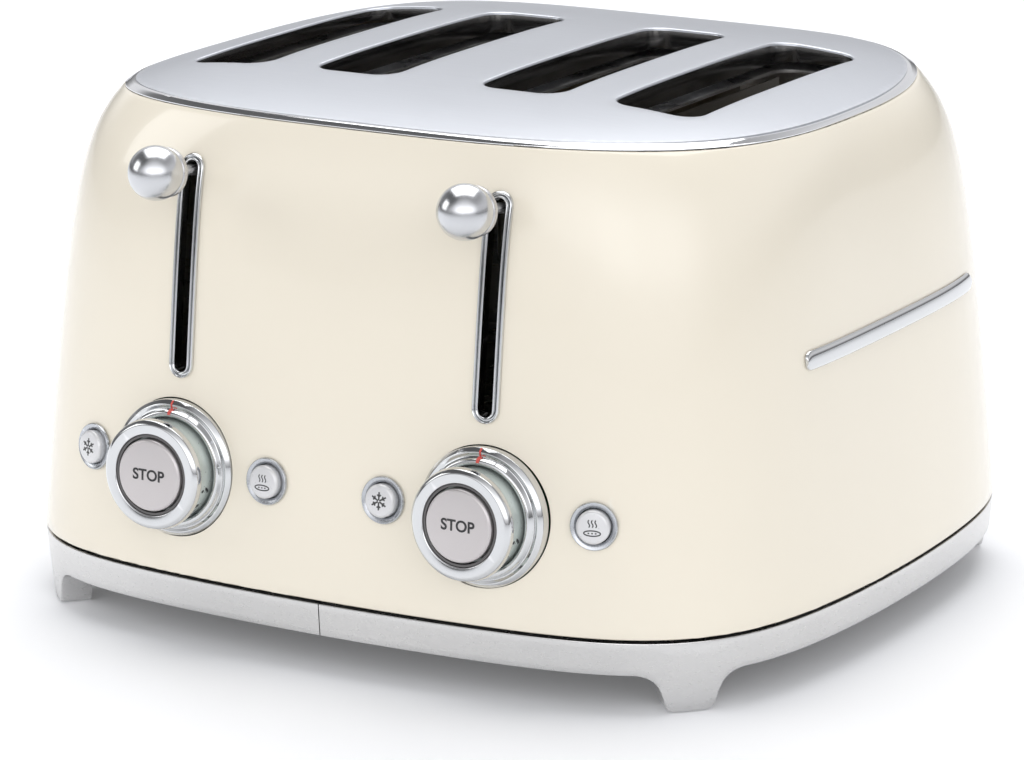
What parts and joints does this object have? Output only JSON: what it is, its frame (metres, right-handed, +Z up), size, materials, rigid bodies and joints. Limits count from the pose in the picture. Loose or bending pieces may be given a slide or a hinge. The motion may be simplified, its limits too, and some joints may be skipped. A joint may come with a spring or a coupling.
{
  "type": "pop up toaster",
  "caption": "Retro four-slice pop-up toaster: enamelled casing on a legged band, brushed domed top, ball levers, browning dials with stop buttons, and round function buttons.",
  "frame": {"origin": "on the table under the middle of the whole toaster, levers and dials included", "axes": "+Z up; the front with the dials faces -Y; +X is to the right seen from the front"},
  "size_m": [0.33, 0.3108, 0.2054],
  "materials": {
    "enamel": "glossy cream enamel",
    "band_metal": "satin polished",
    "rubber": "matt",
    "black_plastic": "fine grain",
    "top_steel": "lengthwise brushed",
    "chrome": "polished",
    "satin_metal": "satin",
    "sheet_steel": "plated sheet",
    "wire_steel": "bright plated",
    "mica": "flaky sheet",
    "circuit_board": "lacquered",
    "dial_silver": "silver lacquer",
    "cap_silver": "satin silver lacquer"
  },
  "bodies": {
    "housing": {"base_band_left": "band_metal", "base_band_right": "band_metal", "foot_pad_front_left": "rubber", "foot_pad_front_right": "rubber", "foot_pad_back_left": "rubber", "foot_pad_back_right": "rubber", "base_pan": "black_plastic", "casing": "enamel", "top_plate": "top_steel", "deck": "sheet_steel", "chamber_wall_front": "sheet_steel", "chamber_wall_back": "sheet_steel", "heating_board_centre_left": "mica", "heating_board_middle_left": "mica", "heating_board_outer_left": "mica", "heating_board_centre_right": "mica", "heating_board_middle_right": "mica", "heating_board_outer_right": "mica", "lever_bezel_left": "chrome", "guide_rod_left": "wire_steel", "lift_spring_left": "wire_steel", "dial_bezel_left": "chrome", "button_ring_defrost_left": "satin_metal", "button_ring_bagel_left": "satin_metal", "control_board_left": "circuit_board", "lever_bezel_right": "chrome", "guide_rod_right": "wire_steel", "lift_spring_right": "wire_steel", "dial_bezel_right": "chrome", "button_ring_defrost_right": "satin_metal", "button_ring_bagel_right": "satin_metal", "control_board_right": "circuit_board", "cord_gland": "black_plastic", "side_trim": "chrome"},
    "lever_left": {"lever_knob_left": "chrome", "carriage_left": "sheet_steel", "bread_rack_left_inner": "wire_steel", "bread_rack_left_outer": "wire_steel"},
    "guards_outward_left": {"bread_guard_left_inner_outward": "wire_steel", "bread_guard_left_outer_outward": "wire_steel"},
    "guards_inward_left": {"bread_guard_left_inner_inward": "wire_steel", "bread_guard_left_outer_inward": "wire_steel"},
    "dial_left": {"dial_left": "dial_silver"},
    "stop_left": {"stop_button_left": "cap_silver"},
    "key_defrost_left": {"button_defrost_left": "cap_silver"},
    "key_bagel_left": {"button_bagel_left": "cap_silver"},
    "tray_left": {"crumb_tray_left": "sheet_steel"},
    "lever_right": {"lever_knob_right": "chrome", "carriage_right": "sheet_steel", "bread_rack_right_inner": "wire_steel", "bread_rack_right_outer": "wire_steel"},
    "guards_outward_right": {"bread_guard_right_inner_outward": "wire_steel", "bread_guard_right_outer_outward": "wire_steel"},
    "guards_inward_right": {"bread_guard_right_inner_inward": "wire_steel", "bread_guard_right_outer_inward": "wire_steel"},
    "dial_right": {"dial_right": "dial_silver"},
    "stop_right": {"stop_button_right": "cap_silver"},
    "key_defrost_right": {"button_defrost_right": "cap_silver"},
    "key_bagel_right": {"button_bagel_right": "cap_silver"},
    "tray_right": {"crumb_tray_right": "sheet_steel"}
  },
  "joints": [
    {"name": "lever_slide_left", "type": "slide", "parent": "housing", "child": "lever_left", "axis": [0, 0, -1], "range_m": [0, 0.068], "stiffness_N_per_m": 60, "springref_m": -0.06, "deforming": ["lift_spring_left"]},
    {"name": "guard_slide_outward_left", "type": "slide", "parent": "housing", "child": "guards_outward_left", "axis": [-1, 0, 0], "range_m": [0, 0.004]},
    {"name": "guard_slide_inward_left", "type": "slide", "parent": "housing", "child": "guards_inward_left", "axis": [1, 0, 0], "range_m": [0, 0.004]},
    {"name": "dial_turn_left", "type": "hinge", "parent": "housing", "child": "dial_left", "pos_m": [-0.0652, -0.13569, 0.0673], "axis": [0, 0.9986, -0.0523], "range_deg": [0, 253]},
    {"name": "stop_press_left", "type": "slide", "parent": "housing", "child": "stop_left", "axis": [0, 0.9986, -0.0523], "range_m": [0, 0.0015], "stiffness_N_per_m": 400, "springref_m": -0.002},
    {"name": "key_press_defrost_left", "type": "slide", "parent": "housing", "child": "key_defrost_left", "axis": [0.27, 0.9572, -0.1038], "range_m": [0, 0.0015], "stiffness_N_per_m": 400, "springref_m": -0.002},
    {"name": "key_press_bagel_left", "type": "slide", "parent": "housing", "child": "key_bagel_left", "axis": [0.023, 0.9932, -0.1145], "range_m": [0, 0.0015], "stiffness_N_per_m": 400, "springref_m": -0.002},
    {"name": "tray_slide_left", "type": "slide", "parent": "housing", "child": "tray_left", "axis": [0, 1, 0], "range_m": [0, 0.2]},
    {"name": "lever_slide_right", "type": "slide", "parent": "housing", "child": "lever_right", "axis": [0, 0, -1], "range_m": [0, 0.068], "stiffness_N_per_m": 60, "springref_m": -0.06, "deforming": ["lift_spring_right"]},
    {"name": "guard_slide_outward_right", "type": "slide", "parent": "housing", "child": "guards_outward_right", "axis": [1, 0, 0], "range_m": [0, 0.004]},
    {"name": "guard_slide_inward_right", "type": "slide", "parent": "housing", "child": "guards_inward_right", "axis": [-1, 0, 0], "range_m": [0, 0.004]},
    {"name": "dial_turn_right", "type": "hinge", "parent": "housing", "child": "dial_right", "pos_m": [0.0652, -0.13569, 0.0673], "axis": [0, 0.9986, -0.0523], "range_deg": [0, 253]},
    {"name": "stop_press_right", "type": "slide", "parent": "housing", "child": "stop_right", "axis": [0, 0.9986, -0.0523], "range_m": [0, 0.0015], "stiffness_N_per_m": 400, "springref_m": -0.002},
    {"name": "key_press_defrost_right", "type": "slide", "parent": "housing", "child": "key_defrost_right", "axis": [-0.0242, 0.9931, -0.1144], "range_m": [0, 0.0015], "stiffness_N_per_m": 400, "springref_m": -0.002},
    {"name": "key_press_bagel_right", "type": "slide", "parent": "housing", "child": "key_bagel_right", "axis": [-0.2812, 0.954, -0.1039], "range_m": [0, 0.0015], "stiffness_N_per_m": 400, "springref_m": -0.002},
    {"name": "tray_slide_right", "type": "slide", "parent": "housing", "child": "tray_right", "axis": [0, 1, 0], "range_m": [0, 0.2]}
  ],
  "couplings": [
    {"joint": "guard_slide_outward_left", "follows": "lever_slide_left", "ratio": 0.058824},
    {"joint": "guard_slide_inward_left", "follows": "lever_slide_left", "ratio": 0.058824},
    {"joint": "guard_slide_outward_right", "follows": "lever_slide_right", "ratio": 0.058824},
    {"joint": "guard_slide_inward_right", "follows": "lever_slide_right", "ratio": 0.058824}
  ]
}
